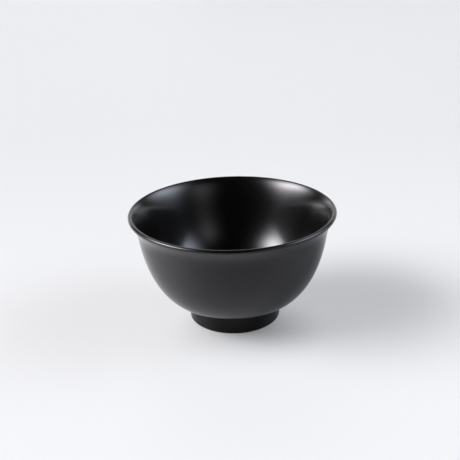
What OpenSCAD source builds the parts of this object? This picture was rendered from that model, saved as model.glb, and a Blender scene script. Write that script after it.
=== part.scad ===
// Lacquered soup bowl with a flared lip and a foot ring, built up as the real one is:
// a turned wood core, cloth bound over the lip and the foot, a ground that levels the
// cloth with the wood, and the lacquer coats on top.
// Millimetres, +Z up, origin at the centre of the foot where it stands on the table.

/* [Bowl] */
// Diameter over the lip
rim_d = 118; // [106:0.5:130]
// Height from the table to the top of the lip
height = 66; // [60:0.5:74]

/* [Lip] */
// How far the edge of the lip stands out past the wall where the flare starts
lip_reach = 5.1; // [3.5:0.1:7]
// How far below the top of the lip the flare starts outside
lip_drop = 13; // [10:0.5:17]
// How far below the top of the lip the flare starts inside
inner_lip_drop = 17.5; // [15:0.5:20]
// Angle of the lip from upright at its edge, outside
lip_flare = 35; // [28:1:42]
// Angle of the lip from upright at its edge, inside
inner_lip_flare = 45; // [40:1:50]
// Thickness of the wood at the edge of the lip
lip_wood_t = 0.9; // [0.6:0.1:1.6]

/* [Wall] */
// Angle of the wall from upright where the flare starts, outside
wall_lean = 7.5; // [4:0.1:12]
// Angle of the wall from upright where the flare starts, inside
inner_wall_lean = 18; // [14:0.5:22]
// Thickness of the wood where the flare starts inside
wall_wood_t = 2.2; // [1.8:0.1:3]
// How far the wall holds its lean below the flare, outside
wall_run = 21.5; // [16:0.5:26]
// How far the wall holds its lean below the flare, inside
inner_wall_run = 17; // [14:0.5:20]
// Angle of the belly from level where it leaves the foot
belly_rise = 10; // [4:0.5:16]
// How far in from the edge of the lip the belly starts to turn up from that angle
belly_inset = 17.5; // [13.5:0.5:21.5]
// How far in from the edge of the lip the level floor inside starts to turn up
floor_inset = 21.5; // [18:0.5:25]

/* [Base and foot] */
// Diameter of the foot ring
foot_d = 53; // [47:0.5:60]
// Height at which the belly meets the foot ring
foot_h = 10.8; // [9:0.1:13]
// Thickness of the wood in the foot ring
foot_wood_t = 2.6; // [1.8:0.1:4]
// Depth of the hollow under the base
recess_h = 6.2; // [5:0.1:8]
// Thickness of the wood in the base, at its centre
base_wood_t = 3.6; // [2.5:0.1:6]
// Radius of the wood along the two edges that the foot stands on
foot_edge_wood_r = 0.3; // [0.2:0.1:0.8]
// Radius of the lacquer in the corner between the belly and the foot
neck_r = 0.7; // [0.5:0.1:2]
// Radius of the lacquer in the corner of the hollow under the base
recess_r = 2; // [1:0.1:3]

/* [Coats] */
// Thickness of the lacquer, middle and top coats together
lacquer_t = 0.2; // [0.15:0.05:0.4]
// Thickness of the ground where it covers the cloth
ground_t = 0.3; // [0.2:0.05:0.5]
// Thickness of the cloth
cloth_t = 0.3; // [0.2:0.05:0.5]

/* [Hidden] */

// Steps along a long curve, along the lip's flare and along a small rounding
curve_steps = 44;
flare_steps = 14;
round_steps = 10;
// Shares of the flare's length over which it keeps the wall's direction and the lip's
flare_ease = [0.48, 0.33];
inner_flare_ease = [0.25, 0.25];
$fn = 180;

lacquer_colour = "#141416";
ground_colour = "#4a3b30";
cloth_colour = "#b9a684";
wood_colour = "#a9794a";

// Depths below the finished surface: the ground, the cloth and the wood start there
ground_depth = lacquer_t;
cloth_depth = lacquer_t + ground_t;
wood_depth = lacquer_t + ground_t + cloth_t;

// Finished thicknesses and radii, wood and coats together
lip_t = lip_wood_t + 2 * wood_depth;
wall_t = wall_wood_t + 2 * wood_depth;
base_t = base_wood_t + 2 * wood_depth;
foot_t = foot_wood_t + 2 * wood_depth;
foot_edge_r = foot_edge_wood_r + wood_depth;

// Directions in the section, [radius, height]: up along a surface that leans from upright,
// and out of a surface that runs that way
function upward(lean) = [sin(lean), cos(lean)];
function outward(lean) = [cos(lean), -sin(lean)];

rim_r = rim_d / 2;
foot_r = foot_d / 2;
hollow_r = foot_r - foot_t;
floor_z = recess_h + base_t;

// How far the belly holds its angle out from the foot, and the floor its level out from the centre
belly_run = rim_r - foot_r - belly_inset;
floor_run = rim_r - floor_inset;

// Points of the section that the curves run between
lip_centre = [rim_r - lip_t / 2, height - lip_t / 2];
lip_outside = lip_centre + lip_t / 2 * outward(lip_flare);
lip_inside = lip_centre - lip_t / 2 * outward(inner_lip_flare);
wall_outside = [rim_r - lip_reach, height - lip_drop];
wall_inside = wall_outside - (inner_lip_drop - lip_drop) * upward(wall_lean) - wall_t * outward(wall_lean);
floor_centre = [0, floor_z];

// The corner between belly and foot is an arc that touches both
belly_dir = [cos(belly_rise), sin(belly_rise)];
neck_reach = neck_r * (1 - sin(belly_rise)) / cos(belly_rise);
belly_start = [foot_r, foot_h] + neck_reach * belly_dir;
neck_centre = belly_start + neck_r * [belly_dir[1], -belly_dir[0]];

// A surface is a list of [radius, height, outward normal], with the bowl on its left

function bezier(p, t) =
  pow(1 - t, 3) * p[0] + 3 * pow(1 - t, 2) * t * p[1] + 3 * (1 - t) * t * t * p[2] + pow(t, 3) * p[3];

function bezier_slope(p, t) =
  pow(1 - t, 2) * (p[1] - p[0]) + 2 * (1 - t) * t * (p[2] - p[1]) + t * t * (p[3] - p[2]);

function curve(p, steps) = [
  for (i = [0 : steps])
    let (q = bezier(p, i / steps), d = bezier_slope(p, i / steps))
      [q[0], q[1], d[1] / norm(d), -d[0] / norm(d)]
];

// side is 1 on an edge that stands out and -1 in a corner
function arc(centre, r, from, to, side) = [
  for (i = [0 : round_steps])
    let (a = from + (to - from) * i / round_steps, d = [cos(a), sin(a)])
      [centre[0] + r * d[0], centre[1] + r * d[1], side * d[0], side * d[1]]
];

// A curve that leaves a by dir_a and comes to b by dir_b, holding each for its run
function sweep(a, dir_a, run_a, b, dir_b, run_b, steps) =
  curve([a, a + run_a * dir_a, b - run_b * dir_b, b], steps);

// The finished surface, zone by zone, from the centre underneath to the centre inside

hollow_zone = concat(
  [[0, recess_h, 0, -1]],
  arc([hollow_r - recess_r, recess_h - recess_r], recess_r, 90, 0, -1)
);
foot_zone = concat(
  [hollow_zone[len(hollow_zone) - 1]],
  arc([hollow_r + foot_edge_r, foot_edge_r], foot_edge_r, 180, 270, 1),
  arc([foot_r - foot_edge_r, foot_edge_r], foot_edge_r, 270, 360, 1),
  [[foot_r, neck_centre[1], 1, 0]]
);
neck = arc(neck_centre, neck_r, 180, 90 + belly_rise, -1);
belly = sweep(
  belly_start, belly_dir, belly_run, wall_outside, upward(wall_lean), wall_run, curve_steps
);
belly_zone = concat(neck, [for (i = [1 : curve_steps]) belly[i]]);
flare_run = flare_ease * norm(lip_outside - wall_outside);
flare_outside = sweep(
  wall_outside, upward(wall_lean), flare_run[0], lip_outside, upward(lip_flare), flare_run[1], flare_steps
);
lip_edge = arc(lip_centre, lip_t / 2, -lip_flare, 180 - inner_lip_flare, 1);
inner_flare_run = inner_flare_ease * norm(lip_inside - wall_inside);
flare_inside = sweep(
  lip_inside, -upward(inner_lip_flare), inner_flare_run[1],
  wall_inside, -upward(inner_wall_lean), inner_flare_run[0], flare_steps
);
bowl_zone = sweep(
  wall_inside, -upward(inner_wall_lean), inner_wall_run, floor_centre, [-1, 0], floor_run, curve_steps
);

// The zones' points at one depth each; where two zones have the same depth they share a point
function trace(zones, depths) = [
  for (i = [0 : len(zones) - 1])
    for (j = [(i > 0 && depths[i] == depths[max(i - 1, 0)]) ? 1 : 0 : len(zones[i]) - 1])
      let (q = zones[i][j]) [q[0] - depths[i] * q[2], q[1] - depths[i] * q[3]]
];

function reversed(list) = [for (i = [len(list) - 1 : -1 : 0]) list[i]];

function even(depth, zones) = [for (z = zones) depth];

module turn(outline) rotate_extrude() polygon(outline);

// A coat over some zones, between two depths or two lists of depths
module coat(zones, top, bottom) turn(concat(trace(zones, top), reversed(trace(zones, bottom))));

module even_coat(zones, top, bottom) coat(zones, even(top, zones), even(bottom, zones));

whole_surface = [
  hollow_zone, foot_zone, belly_zone, flare_outside, lip_edge, flare_inside, bowl_zone
];

// Turned from one block of wood, foot ring and all
module wood_core() color(wood_colour) turn(trace(whole_surface, even(wood_depth, whole_surface)));

// Cloth glued over the lip, down to where the flare starts on both sides
module rim_cloth() color(cloth_colour)
  even_coat([flare_outside, lip_edge, flare_inside], cloth_depth, wood_depth);

// Cloth glued round the foot ring
module foot_cloth() color(cloth_colour) even_coat([foot_zone], cloth_depth, wood_depth);

// Ground over the outside, thinner over the cloth and down to the wood elsewhere
module outer_ground() color(ground_colour)
  let (zones = [hollow_zone, foot_zone, belly_zone, flare_outside, lip_edge])
    coat(zones, even(ground_depth, zones), [wood_depth, cloth_depth, wood_depth, cloth_depth, cloth_depth]);

// Ground over the inside
module inner_ground() color(ground_colour)
  let (zones = [flare_inside, bowl_zone])
    coat(zones, even(ground_depth, zones), [cloth_depth, wood_depth]);

module base_lacquer() color(lacquer_colour) even_coat([hollow_zone], 0, ground_depth);

module foot_lacquer() color(lacquer_colour) even_coat([foot_zone], 0, ground_depth);

module outer_lacquer() color(lacquer_colour) even_coat([belly_zone, flare_outside], 0, ground_depth);

module rim_lacquer() color(lacquer_colour) even_coat([lip_edge], 0, ground_depth);

module inner_lacquer() color(lacquer_colour) even_coat([flare_inside, bowl_zone], 0, ground_depth);

wood_core();
rim_cloth();
foot_cloth();
outer_ground();
inner_ground();
base_lacquer();
foot_lacquer();
outer_lacquer();
rim_lacquer();
inner_lacquer();
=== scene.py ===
# %% [markdown]
# # A lacquer soup bowl
#
# This lesson dresses a turned soup bowl: black lacquer over a ground, over cloth, over wood.
# The solids already stand in the frame at their real size, in metres, with the foot on z = 0.
# We load them first; their boxes give the sizes that the coats are drawn to.

# %% Load the frame
import math

import bmesh
import bpy
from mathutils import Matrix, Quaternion, Vector
from mathutils.geometry import interpolate_bezier


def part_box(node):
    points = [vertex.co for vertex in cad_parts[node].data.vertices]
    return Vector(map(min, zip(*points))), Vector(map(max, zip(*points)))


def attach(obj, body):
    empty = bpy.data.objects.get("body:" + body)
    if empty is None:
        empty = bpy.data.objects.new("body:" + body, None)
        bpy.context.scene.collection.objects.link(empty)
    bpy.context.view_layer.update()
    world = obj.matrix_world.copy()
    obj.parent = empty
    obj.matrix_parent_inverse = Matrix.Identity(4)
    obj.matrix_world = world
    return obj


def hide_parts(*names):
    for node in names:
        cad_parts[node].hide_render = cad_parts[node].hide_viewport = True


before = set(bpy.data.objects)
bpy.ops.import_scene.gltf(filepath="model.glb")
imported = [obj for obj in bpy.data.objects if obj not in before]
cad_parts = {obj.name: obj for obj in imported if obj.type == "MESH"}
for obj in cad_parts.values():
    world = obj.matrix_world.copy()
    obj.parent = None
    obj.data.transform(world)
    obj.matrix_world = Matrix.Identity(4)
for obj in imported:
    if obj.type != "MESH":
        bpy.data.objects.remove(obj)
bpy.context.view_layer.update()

print("nodes:", ", ".join(sorted(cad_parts)))

# %% [markdown]
# ## The camera
#
# The camera stands in front of the bowl, a little above it, as a person at the table does.
# We could place it by eye, but a bowl is round, so the ellipse of its lip tells us how high the
# camera was, and how much rounder the foot's ellipse is tells us how near it was.
# The picture also leans by a degree or two, so the camera is rolled by as much.

# %% Place the camera
MM = 0.001

aim = Vector((-1.5, 0, 53.1)) * MM
camera_distance = 450 * MM
camera_height_angle = math.radians(22.5)
camera_roll = math.radians(-1.8)
sensor_width = 36.0
focal_length = 61.4


def camera_place(target, distance, height_angle):
    """The point at a distance in front of the target, seen down by an angle."""
    back = Vector((0, -math.cos(height_angle), math.sin(height_angle)))
    return target + distance * back


camera_data = bpy.data.cameras.new("camera")
camera_data.sensor_width = sensor_width
camera_data.lens = focal_length
camera = bpy.data.objects.new("camera", camera_data)
camera.location = camera_place(aim, camera_distance, camera_height_angle)
camera.rotation_mode = "QUATERNION"
look = (aim - camera.location).to_track_quat("-Z", "Y")
camera.rotation_quaternion = look @ Quaternion((0, 0, 1), camera_roll)
bpy.context.scene.collection.objects.link(camera)
bpy.context.scene.camera = camera
bpy.context.scene.view_settings.view_transform = "Standard"
print("camera at", [round(c, 3) for c in camera.location])

# %% [markdown]
# ## Drawing a section and turning it
#
# A bowl is made on a lathe, so each of its skins is one line in the section, turned round the axis.
# We draw that line as a turner draws a template: straight strokes, free curves with two handles, and
# arcs. The line runs with the bowl on its left, so the finished side is always on its right.
# An arc is a point that spins about its centre, and the skin is the whole line that spins about Z.


# %% A pen that draws sections
class Section:
    """A line in the XZ plane, which is then turned round Z."""

    def __init__(self, start):
        self.bm = bmesh.new()
        self.tip = self.bm.verts.new(start)

    def line_to(self, point):
        made = bmesh.ops.extrude_vert_indiv(self.bm, verts=[self.tip])
        self.tip = made["verts"][0]
        self.tip.co = point

    def curve_to(self, handle_a, handle_b, point, steps):
        for along in interpolate_bezier(self.tip.co, handle_a, handle_b, point, steps + 1)[1:]:
            self.line_to(along)

    def arc(self, centre, angle, steps):
        """Turns the tip about a centre; a positive angle goes from +Z towards +X."""
        made = bmesh.ops.spin(
            self.bm, geom=[self.tip], cent=centre, axis=(0, 1, 0), dvec=(0, 0, 0),
            angle=angle, steps=steps, use_merge=False,
        )
        self.tip = made["geom_last"][0]

    def turn(self, steps):
        """Spins the line round Z into a skin whose faces look to the right of the line."""
        first = self.bm.edges[:][0]
        stroke = first.verts[1].co - first.verts[0].co
        outward = Vector((stroke.z, 0, -stroke.x))
        bmesh.ops.spin(
            self.bm, geom=self.bm.verts[:] + self.bm.edges[:], cent=(0, 0, 0), axis=(0, 0, 1),
            dvec=(0, 0, 0), angle=2 * math.pi, steps=steps, use_merge=True,
        )
        bmesh.ops.remove_doubles(self.bm, verts=self.bm.verts[:], dist=0.001 * MM)
        bmesh.ops.recalc_face_normals(self.bm, faces=self.bm.faces[:])
        self.bm.edges.ensure_lookup_table()
        if self.bm.edges[0].link_faces[0].normal.dot(outward) < 0:
            bmesh.ops.reverse_faces(self.bm, faces=self.bm.faces[:])


# %% [markdown]
# ## From a skin to a coat
#
# A coat of lacquer is a film with a thickness, and it lies on the coat below. We give the skin that
# thickness inwards, so that its finished side stays where the part says.
# The film's thin edges are marked sharp. Without that, shading would round them and draw a grey line
# wherever two coats meet.

# %% Make a coat
film = 0.2 * MM
turn_steps = 160
sharp_angle = math.radians(40)


def coat(name, section):
    """Turns a section into a film of lacquer and adds it to the scene."""
    section.turn(turn_steps)
    bmesh.ops.solidify(section.bm, geom=section.bm.faces[:], thickness=film)
    for face in section.bm.faces:
        face.smooth = True
    for edge in section.bm.edges:
        edge.smooth = edge.calc_face_angle(math.pi) < sharp_angle
    mesh = bpy.data.meshes.new(name)
    section.bm.to_mesh(mesh)
    section.bm.free()
    piece = bpy.data.objects.new(name, mesh)
    bpy.context.scene.collection.objects.link(piece)
    print(f"{name}: {len(mesh.polygons)} faces")
    return piece


# %% [markdown]
# ## The points of the section
#
# Radii and heights that the solids fix are read from their boxes: the lip, the foot, the hollow under
# the base and the floor inside. What lies between, such as where the flare starts, is a measure of
# the bowl's own drawing. Directions are unit vectors, so a handle is a direction times a run.

# %% Measure the frame
rim_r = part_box("rim_lacquer")[1].x
rim_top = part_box("rim_lacquer")[1].z
foot_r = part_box("foot_lacquer")[1].x
neck_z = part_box("foot_lacquer")[1].z
hollow_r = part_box("base_lacquer")[1].x - film
hollow_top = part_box("base_lacquer")[1].z - film
floor_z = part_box("inner_lacquer")[0].z + film

lip_t = 2.5 * MM
lip_reach = 5.1 * MM
lip_drop = 13 * MM
inner_lip_drop = 17.5 * MM
lip_flare = math.radians(35)
inner_lip_flare = math.radians(45)
wall_t = 3.8 * MM
wall_lean = math.radians(7.5)
inner_wall_lean = math.radians(18)
neck_r = 0.7 * MM
belly_rise = math.radians(10)
foot_edge_r = 1.1 * MM
hollow_corner_r = 2.0 * MM


def point(radius, height):
    return Vector((radius, 0, height))


def upward(lean):
    """Up along a wall that leans out from upright."""
    return point(math.sin(lean), math.cos(lean))


def outward(lean):
    """Square out of a wall that leans out from upright."""
    return point(math.cos(lean), -math.sin(lean))


lip_centre = point(rim_r - lip_t / 2, rim_top - lip_t / 2)
lip_outside = lip_centre + lip_t / 2 * outward(lip_flare)
lip_inside = lip_centre - lip_t / 2 * outward(inner_lip_flare)
wall_outside = point(rim_r - lip_reach, rim_top - lip_drop)
wall_inside = (
    wall_outside - (inner_lip_drop - lip_drop) * upward(wall_lean) - wall_t * outward(wall_lean)
)
print("lip centre", lip_centre / MM, "wall", wall_outside / MM)

# %% [markdown]
# ## The lacquer underneath
#
# Under the base is a shallow hollow, so that the bowl stands on a ring and doesn't rock.
# Its section is one stroke out from the axis and a corner that is rounded by the brush.

# %% Turn the hollow's lacquer
round_steps = 16

hollow = Section(point(0, hollow_top))
hollow.line_to(point(hollow_r - hollow_corner_r, hollow_top))
hollow.arc(point(hollow_r - hollow_corner_r, hollow_top - hollow_corner_r), math.pi / 2, round_steps)
base_coat = coat("base_coat", hollow)

# %% [markdown]
# ## The lacquer of the foot
#
# The foot ring carries the bowl on a flat land two millimetres wide. Both edges of the land are
# rounded, because lacquer doesn't hold on a sharp edge.

# %% Turn the foot's lacquer
foot = Section(point(hollow_r, hollow_top - hollow_corner_r))
foot.line_to(point(hollow_r, foot_edge_r))
foot.arc(point(hollow_r + foot_edge_r, foot_edge_r), -math.pi / 2, round_steps)
foot.line_to(point(foot_r - foot_edge_r, 0))
foot.arc(point(foot_r - foot_edge_r, foot_edge_r), -math.pi / 2, round_steps)
foot.line_to(point(foot_r, neck_z))
foot_coat = coat("foot_coat", foot)

# %% [markdown]
# ## The lacquer of the outside
#
# From the neck the belly runs out almost level, then swings up into a wall that is nearly upright, and
# the lip flares out at the top. Two free curves do it, one up to where the flare starts and one along
# the flare. They share a direction there, so no crease shows in the reflections.

# %% Turn the outside
curve_steps = 72
flare_steps = 24
belly_inset = 17.5 * MM
belly_run = rim_r - foot_r - belly_inset
wall_run = 21.5 * MM
flare_keeps_wall = 0.48
flare_keeps_lip = 0.33

belly_direction = point(math.cos(belly_rise), math.sin(belly_rise))
neck_centre = point(foot_r + neck_r, neck_z)
belly_start = neck_centre + neck_r * point(-math.sin(belly_rise), math.cos(belly_rise))


def flare_to(section, leave, keep_start, end, arrive, keep_end):
    """Draws a flare; each keep is the share of its length over which it holds a direction."""
    start = section.tip.co.copy()
    length = (end - start).length
    section.curve_to(
        start + keep_start * length * leave, end - keep_end * length * arrive, end, flare_steps
    )


outside = Section(point(foot_r, neck_z))
outside.arc(neck_centre, math.pi / 2 - belly_rise, round_steps)
outside.curve_to(
    belly_start + belly_run * belly_direction,
    wall_outside - wall_run * upward(wall_lean),
    wall_outside,
    curve_steps,
)
flare_to(
    outside, upward(wall_lean), flare_keeps_wall, lip_outside, upward(lip_flare), flare_keeps_lip
)
outer_coat = coat("outer_coat", outside)

# %% [markdown]
# ## The lacquer of the lip
#
# The edge that touches the mouth is half a circle in section. It is what catches the light as a thin
# bright line all round the bowl, so it is its own piece with its own fine steps.

# %% Turn the lip
lip_steps = 32

lip = Section(lip_outside)
lip.arc(lip_centre, inner_lip_flare - lip_flare - math.pi, lip_steps)
rim_coat = coat("rim_coat", lip)

# %% [markdown]
# ## The lacquer of the inside
#
# The inside leans out more than the outside does, so the wall grows thicker towards the base, as a
# turner leaves it. We could offset the outside by one thickness, but then the light would fall at other
# places inside than it does in the photograph.
# The last handle is level, so the floor is smooth at the centre, where all the faces meet in a point.

# %% Turn the inside
inner_wall_run = 17 * MM
floor_inset = 21.5 * MM
floor_run = rim_r - floor_inset
inner_flare_keeps_wall = 0.25
inner_flare_keeps_lip = 0.25

inside = Section(lip_inside)
flare_to(
    inside, -upward(inner_lip_flare), inner_flare_keeps_lip,
    wall_inside, -upward(inner_wall_lean), inner_flare_keeps_wall,
)
inside.curve_to(
    wall_inside - inner_wall_run * upward(inner_wall_lean),
    point(floor_run, floor_z),
    point(0, floor_z),
    curve_steps,
)
inner_coat = coat("inner_coat", inside)

# %% [markdown]
# ## A helper for finishes
#
# Every finish here is grown from nodes, with no pictures, so it stays sharp from near by.
# Marks on a turned bowl run round it: the brush went round, and so did the polishing. We could give
# the skins a UV map, but a formula does it in one go. We shrink the way round to a small circle and
# keep the way along the section as it is, so any pattern that we lay on it is drawn out round the bowl.


# %% A finish and its patterns
class Finish:
    """A material that is put together node by node."""

    def __init__(self, name):
        self.material = bpy.data.materials.new(name)
        self.material.use_nodes = True
        self.nodes = self.material.node_tree.nodes
        self.links = self.material.node_tree.links
        self.shader = self.nodes["Principled BSDF"]
        self.place = self.nodes.new("ShaderNodeTexCoord").outputs["Object"]

    def add(self, kind, inputs, **settings):
        """Adds a node; an input is either a number or the socket that feeds it."""
        made = self.nodes.new(kind)
        for key, value in settings.items():
            setattr(made, key, value)
        for socket, value in inputs.items():
            if isinstance(value, bpy.types.NodeSocket):
                self.links.new(value, made.inputs[socket])
            else:
                made.inputs[socket].default_value = value
        return made.outputs

    def maths(self, operation, *values):
        return self.add("ShaderNodeMath", dict(enumerate(values)), operation=operation)[0]

    def noise(self, place, per_metre, detail=2.0):
        inputs = {"Vector": place, "Scale": per_metre, "Detail": detail}
        return self.add("ShaderNodeTexNoise", inputs)["Fac"]

    def spread(self, value, low, high, to_low, to_high, way="LINEAR"):
        """Maps a value from one range to another and holds it there."""
        inputs = {0: value, 1: low, 2: high, 3: to_low, 4: to_high}
        return self.add("ShaderNodeMapRange", inputs, interpolation_type=way)[0]

    def tint(self, value, dark, light):
        inputs = {0: value, 6: (*dark, 1), 7: (*light, 1)}
        return self.add("ShaderNodeMix", inputs, data_type="RGBA")[2]

    def relief(self, height, depth, strength=1.0):
        inputs = {"Height": height, "Distance": depth, "Strength": strength}
        return self.add("ShaderNodeBump", inputs)["Normal"]

    def wire(self, **sockets):
        """Feeds the shader's sockets; an underscore in a name stands for a space."""
        for name, socket in sockets.items():
            self.links.new(socket, self.shader.inputs[name.replace("_", " ")])

    def section_place(self):
        """The angle round the axis, the way along the section and the height, in metres."""
        axes = self.add("ShaderNodeSeparateXYZ", {0: self.place})
        flat = self.add("ShaderNodeVectorMath", {0: self.place, 1: (1, 1, 0)}, operation="MULTIPLY")[0]
        radius = self.add("ShaderNodeVectorMath", {0: flat}, operation="LENGTH")["Value"]
        angle = self.maths("ARCTAN2", axes["Y"], axes["X"])
        return flat, angle, self.maths("ADD", radius, axes["Z"]), axes["Z"]

    def drawn_round(self, flat, along, circle_r):
        """A place for patterns that are drawn out round the bowl."""
        unit = self.add("ShaderNodeVectorMath", {0: flat}, operation="NORMALIZE")[0]
        ring = self.add("ShaderNodeVectorMath", {0: unit, "Scale": circle_r}, operation="SCALE")[0]
        rise = self.add("ShaderNodeCombineXYZ", {"Z": along})[0]
        return self.add("ShaderNodeVectorMath", {0: ring, 1: rise}, operation="ADD")[0]


# %% [markdown]
# ## Black lacquer
#
# The lacquer is a black film with the gloss of a clear varnish: almost no colour of its own, and a
# reflection that grows towards the edges of the bowl. It is satin, so lights show as soft patches.
#
# The gloss is made of two: a clear one that draws each light as a patch, and a weak hazy one over it
# that spreads a little light round the patch, as rubbed lacquer does. The foot has less of both.
# One black with one gloss would look like plastic. Real lacquer is brushed on and rubbed down, so the
# gloss drifts a little, faint marks run round, the black is warmer in places, and the ring that the
# bowl stands on is scuffed dull.

# %% Mix the lacquer
lacquer = Finish("black_lacquer")
lacquer.shader.inputs["IOR"].default_value = 1.53
lacquer.shader.inputs["Specular Tint"].default_value = (0.98, 0.955, 1, 1)
lacquer.shader.inputs["Coat Roughness"].default_value = 0.33
lacquer.shader.inputs["Coat IOR"].default_value = 1.5

flat, angle, along, height = lacquer.section_place()
brush_place = lacquer.drawn_round(flat, along, 4 * MM)
polish = lacquer.noise(lacquer.place, 45)
brush = lacquer.noise(brush_place, 700, 3)
peel = lacquer.noise(lacquer.place, 420, 1)

scuff_height = lacquer.spread(height, 0.05 * MM, 0.5 * MM, 1, 0)
scuff_marks = lacquer.spread(lacquer.noise(brush_place, 1800, 4), 0.42, 0.6, 0.25, 1)
scuff = lacquer.maths("MULTIPLY", scuff_height, scuff_marks)

satin = lacquer.spread(polish, 0.3, 0.7, 0.12, 0.15)
brushed = lacquer.maths("MULTIPLY_ADD", brush, 0.03, satin)
gloss = lacquer.maths("MULTIPLY_ADD", scuff, 0.3, brushed)
black = lacquer.tint(polish, (0.0008, 0.0008, 0.0009), (0.0014, 0.0012, 0.0011))
worn = lacquer.tint(scuff, (0, 0, 0), (0.012, 0.0115, 0.011))
colour = lacquer.add("ShaderNodeMix", {0: 1.0, 6: black, 7: worn}, data_type="RGBA", blend_type="ADD")[2]
skin = lacquer.maths("MULTIPLY_ADD", peel, 0.5, brush)
shine = lacquer.spread(height, 9.6 * MM, 10.4 * MM, 0.14, 0.365)
haze = lacquer.spread(height, 9.6 * MM, 10.4 * MM, 0.16, 0.22)
lacquer.wire(
    Base_Color=colour, Roughness=gloss, Specular_IOR_Level=shine, Coat_Weight=haze,
    Normal=lacquer.relief(skin, 0.006 * MM, 0.5),
)
print("lacquer:", len(lacquer.nodes), "nodes")

# %% [markdown]
# ## Dressing the coats
#
# Each coat that we turned takes the place of the solid that it was measured from, and rides on the same
# body, so it goes where the bowl goes.

# %% Dress the coats
coats = {
    "base_lacquer": base_coat,
    "foot_lacquer": foot_coat,
    "outer_lacquer": outer_coat,
    "rim_lacquer": rim_coat,
    "inner_lacquer": inner_coat,
}
for node, piece in coats.items():
    piece.data.materials.append(lacquer.material)
    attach(piece, "root")
    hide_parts(node)
print("coats:", ", ".join(coats))

# %% [markdown]
# ## What lies under the lacquer
#
# The core, the cloth and the ground don't show on a whole bowl, but they are there, and somebody may
# cut the model open. The solids have the right shapes, so they only need finishes.
#
# The core is turned from a block of wood that was cut beside the heart of the tree. So its grain is
# rings round a far-off line, with fibres along it.

# %% Mix the wood
wood = Finish("turned_wood")
heart = wood.add("ShaderNodeMapping", {0: wood.place, 1: (0.09, 0, -0.02)})[0]
rings = wood.add(
    "ShaderNodeTexWave",
    {"Vector": heart, "Scale": 110, "Distortion": 2.5, "Detail": 2, "Detail Scale": 0.4},
    wave_type="RINGS", rings_direction="Y",
)["Fac"]
fibre_place = wood.add("ShaderNodeMapping", {0: wood.place, 3: (1, 0.04, 1)})[0]
fibre = wood.noise(fibre_place, 1500, 3)
grain = wood.maths("MULTIPLY_ADD", fibre, 0.5, wood.maths("MULTIPLY", rings, 0.5))
wood.wire(
    Base_Color=wood.tint(grain, (0.30, 0.155, 0.07), (0.52, 0.315, 0.165)),
    Roughness=wood.spread(fibre, 0.3, 0.7, 0.55, 0.72),
    Normal=wood.relief(fibre, 0.05 * MM),
)
print("wood:", len(wood.nodes), "nodes")

# %% [markdown]
# The cloth keeps the lip and the foot from splitting. It is a plain weave, stiff with lacquer.
# Threads could be modelled one by one, but there are thousands, so two waves cross instead: one is
# counted round the axis and one along the section.

# %% Weave the cloth
cloth = Finish("bound_cloth")
threads_round = 320
thread_pitch = 0.7 * MM
flat, angle, along, height = cloth.section_place()
warp = cloth.maths("SINE", cloth.maths("MULTIPLY", angle, threads_round))
weft = cloth.maths("SINE", cloth.maths("MULTIPLY", along, 2 * math.pi / thread_pitch))
weave = cloth.spread(cloth.maths("MULTIPLY", warp, weft), -1, 1, 0, 1)
threads = cloth.maths("MULTIPLY", weave, 0.6)
fuzz = cloth.maths("MULTIPLY_ADD", cloth.noise(cloth.place, 2500, 3), 0.5, threads)
cloth.wire(
    Base_Color=cloth.tint(fuzz, (0.25, 0.17, 0.09), (0.58, 0.47, 0.31)),
    Roughness=cloth.spread(fuzz, 0, 1, 0.9, 0.7),
    Normal=cloth.relief(weave, 0.1 * MM),
)
print("cloth:", len(cloth.nodes), "nodes")

# %% [markdown]
# The ground is fine earth in lacquer, spread over wood and cloth and rubbed level. It stays matte, so
# a fine grit under slow clouds is enough.

# %% Mix the ground and dress the solids
ground = Finish("earth_ground")
grit = ground.noise(ground.place, 3000, 4)
cloud = ground.noise(ground.place, 90)
speckle = ground.maths("MULTIPLY", grit, cloud)
ground.wire(
    Base_Color=ground.tint(speckle, (0.04, 0.025, 0.016), (0.15, 0.10, 0.07)),
    Roughness=ground.spread(grit, 0.3, 0.7, 0.65, 0.85),
    Normal=ground.relief(grit, 0.03 * MM),
)

under = {
    "wood_core": wood,
    "rim_cloth": cloth,
    "foot_cloth": cloth,
    "outer_ground": ground,
    "inner_ground": ground,
}
for node, finish in under.items():
    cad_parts[node].data.materials.clear()
    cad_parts[node].data.materials.append(finish.material)
print("finishes under the lacquer:", ", ".join(sorted({f.material.name for f in under.values()})))

# %% [markdown]
# ## The table
#
# The bowl stands on a wide pale floor whose edge sweeps up out of sight, as paper does in a studio.
# We turn it like the bowl, so it looks the same from every side.

# %% Lay the floor
floor_r = 3.0
sweep_r = 0.5
floor_line = Section(point(0, 0))
floor_line.line_to(point(floor_r - sweep_r, 0))
floor_line.arc(point(floor_r - sweep_r, sweep_r), -math.pi / 2, round_steps)
floor_line.turn(96)
bmesh.ops.reverse_faces(floor_line.bm, faces=floor_line.bm.faces[:])
floor_mesh = bpy.data.meshes.new("floor")
floor_line.bm.to_mesh(floor_mesh)
floor_line.bm.free()
floor_mesh.shade_smooth()
floor = bpy.data.objects.new("floor", floor_mesh)
bpy.context.scene.collection.objects.link(floor)
print("floor:", len(floor_mesh.polygons), "faces")

# %% [markdown]
# ## The pale paper
#
# The paper is pale because it glows a little when it is looked at; the glow is painted light, stronger
# in front and fading towards the back.
# Stronger lamps would make it pale too, but they would turn the black of the bowl grey.
# The glow is cut back in a patch in front of the foot, a painted shadow of the bowl. In the lacquer the
# paper shows a painted reflection, brighter towards the window, and is painted dark far behind the
# camera, where the room is dark.

# %% Colour the floor
shade_middle = Vector((7, -21, 0)) * MM
shade_r = 49 * MM

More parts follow.
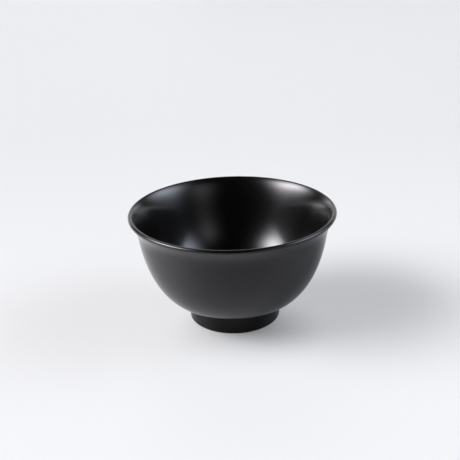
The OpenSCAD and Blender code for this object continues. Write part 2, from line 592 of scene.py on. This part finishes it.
paper = Finish("pale_paper")
paper.shader.inputs["Roughness"].default_value = 0.5
paper.shader.inputs["Specular IOR Level"].default_value = 0.35
paper.shader.inputs["Emission Color"].default_value = (0.98, 0.985, 1.0, 1)
rays = paper.nodes.new("ShaderNodeLightPath").outputs
axes = paper.add("ShaderNodeSeparateXYZ", {0: paper.place})
shade = paper.add(
    "ShaderNodeVectorMath", {0: paper.place, 1: shade_middle}, operation="DISTANCE"
)["Value"]

# Painted light: the paper's glow is stronger in front of the bowl and fades towards the back.
pale = paper.spread(axes["Y"], -0.2, 0.45, 0.345, 0.24, "SMOOTHSTEP")
# Painted shadow: the glow drops to about a third in a patch in front of the foot, where the bowl's shade
# is painted.
painted_shadow_cut = paper.spread(shade, 0, shade_r, 0.31, 1, "SMOOTHSTEP")
# Painted reflection: in glossy rays the paper glows brighter towards the window and dimmer on the far
# side.
painted_window_sheen = paper.spread(axes["X"], -0.3, 0.05, 2.4, 0.2, "SMOOTHSTEP")
# Painted shade: in glossy rays the paper far behind the camera loses its glow, painting the dark room
# into the lacquer.
painted_dark_room = paper.maths("MULTIPLY", rays["Is Glossy Ray"], paper.spread(axes["Y"], -0.5, -1.5, 0, 1))
seen = paper.maths("ADD", rays["Is Camera Ray"], rays["Is Transmission Ray"])
seen = paper.maths("MULTIPLY_ADD", rays["Is Glossy Ray"], painted_window_sheen, seen)
seen = paper.maths("MULTIPLY", seen, paper.maths("SUBTRACT", painted_shadow_cut, painted_dark_room))
# The paper's colour is painted near black where it stands for the dark room in reflections.
paper.wire(
    Base_Color=paper.tint(painted_dark_room, (0.44, 0.442, 0.448), (0.02, 0.02, 0.02)),
    Emission_Strength=paper.maths("MULTIPLY", pale, seen),
)
floor.data.materials.append(paper.material)
print("paper:", len(paper.nodes), "nodes")

# %% [markdown]
# ## The light
#
# A black bowl is seen by what it mirrors, so each light is placed by its patch in the lacquer.
# The bright patches at the right inside the lip and at the bottom are one large window to the left of
# the bowl. The dimmer ones at the left are the wall across the room, which throws some of it back.
# A low pale strip behind the bowl lights the inside of the lip, and a door stands to the right of the
# camera. The rest of the room is dark, and that is why the inside of the bowl looks so deep.
#
# We could hang square lamps, but their edges would show in the lacquer. So every light is a spot in the
# room's own light that fades from its middle outwards, as light through a thin curtain does.

# %% Light the room
world = bpy.data.worlds.new("studio")
bpy.context.scene.world = world
world.use_nodes = True
room_nodes = world.node_tree.nodes
room_links = world.node_tree.links
looking = room_nodes.new("ShaderNodeTexCoord").outputs["Generated"]


def room(kind, operation, result, *values):
    """Adds a node to the room's light; a value is a number, a vector or a socket."""
    made = room_nodes.new(kind)
    made.operation = operation
    for socket, value in enumerate(values):
        if isinstance(value, bpy.types.NodeSocket):
            room_links.new(value, made.inputs[socket])
        else:
            made.inputs[socket].default_value = value
    return made.outputs[result]


def glow(side_angle, height_angle, spread, radiance, colour):
    """A soft light; the side angle runs clockwise from straight behind the bowl."""
    side, up = math.radians(side_angle), math.radians(height_angle)
    middle = (math.cos(up) * math.sin(side), math.cos(up) * math.cos(side), math.sin(up))
    sharpness = 1 / math.radians(spread) ** 2
    near = room("ShaderNodeVectorMath", "DOT_PRODUCT", "Value", looking, middle)
    fall = room("ShaderNodeMath", "MULTIPLY_ADD", 0, near, sharpness, -sharpness)
    fade = room("ShaderNodeMath", "EXPONENT", 0, fall)
    made = room_nodes.new("ShaderNodeVectorMath")
    made.operation = "SCALE"
    made.inputs[0].default_value = radiance * Vector(colour)
    room_links.new(fade, made.inputs["Scale"])
    return made.outputs["Vector"]


daylight = (1, 0.985, 1.0)
bounced = (0.90, 0.98, 1.08)
lights = [
    glow(-106.5, 35, 8.8, 18, daylight),
    glow(-86.5, 35, 8.8, 18, daylight),
    glow(76.5, 32, 9.6, 5.1, bounced),
    glow(96.5, 32, 9.6, 5.1, bounced),
    glow(-30, 8, 8, 2.6, (1, 0.98, 0.92)),
    glow(6, 8, 12, 1.6, daylight),
    glow(32, 8, 8, 1.6, daylight),
    glow(-14, 36, 9, 1.4, daylight),
    glow(140, 27, 9.5, 0.95, (1, 0.97, 0.98)),
]
light = (0.012, 0.012, 0.013)
for spot in lights:
    light = room("ShaderNodeVectorMath", "ADD", "Vector", light, spot)
room_links.new(light, room_nodes["Background"].inputs["Color"])
print("lights:", len(lights))
